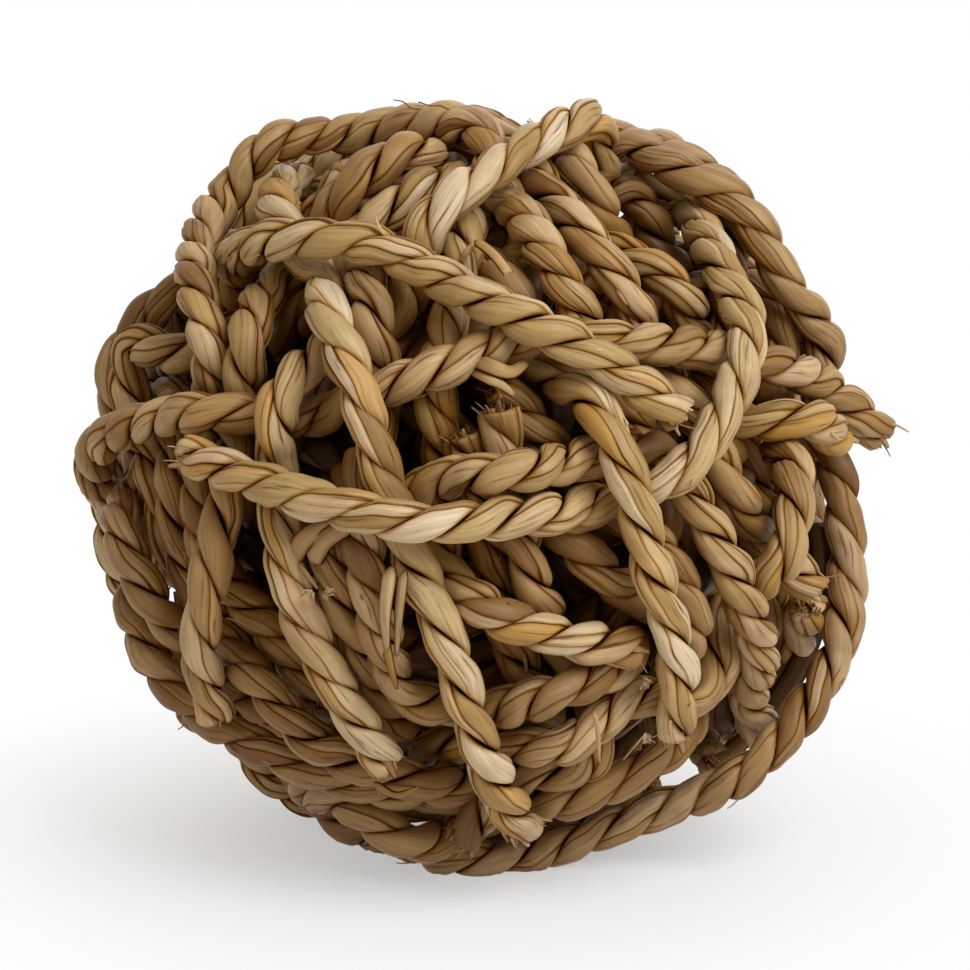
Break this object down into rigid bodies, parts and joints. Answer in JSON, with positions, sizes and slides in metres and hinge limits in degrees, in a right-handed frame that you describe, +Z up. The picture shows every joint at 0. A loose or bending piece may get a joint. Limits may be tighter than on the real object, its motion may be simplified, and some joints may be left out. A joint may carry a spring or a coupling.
{
  "type": "rope ball toy",
  "caption": "Ball toy for pets, wound from lengths of two-ply twisted seagrass rope that pass over and under each other round a rope core, with bare frayed ends.",
  "frame": {"origin": "on the floor under the middle of the ball, at the bottom centre of its box", "axes": "+Z up, -Y towards the side that the picture shows, +X to its right"},
  "size_m": [0.104, 0.101, 0.0962],
  "materials": {
    "straw_seagrass": "satin dried grass",
    "tan_seagrass": "satin dried grass",
    "brown_seagrass": "satin dried grass",
    "dark_seagrass": "satin dried grass"
  },
  "bodies": {
    "root": {"core_rope_1": "dark_seagrass", "core_rope_2": "dark_seagrass", "core_rope_3": "dark_seagrass", "upper_diagonal_rope": "straw_seagrass", "front_band_rope": "straw_seagrass", "middle_band_rope": "tan_seagrass", "long_diagonal_rope": "straw_seagrass", "right_vertical_rope": "straw_seagrass", "right_rim_rope": "brown_seagrass", "left_rim_rope": "tan_seagrass", "over_the_top_rope": "tan_seagrass", "left_outer_rope": "brown_seagrass", "left_second_rope": "brown_seagrass", "left_inner_rope": "tan_seagrass", "crossing_rope": "straw_seagrass", "shoulder_rope": "tan_seagrass", "parallel_rope": "tan_seagrass", "second_band_rope": "tan_seagrass", "right_inner_rope": "tan_seagrass", "lower_band_rope": "straw_seagrass", "inner_vertical_rope": "brown_seagrass", "short_stub_rope": "brown_seagrass", "frayed_short_rope": "brown_seagrass", "deep_right_rope": "brown_seagrass", "right_end_rope": "straw_seagrass", "right_deep_rim_rope": "dark_seagrass", "lower_left_rope": "brown_seagrass", "bottom_left_rope": "brown_seagrass", "left_vertical_rope": "brown_seagrass", "hidden_vertical_rope": "brown_seagrass", "upper_inner_rope": "straw_seagrass", "back_diagonal_rope": "straw_seagrass", "back_short_rope": "tan_seagrass", "back_lower_rope": "brown_seagrass"}
  },
  "joints": []
}
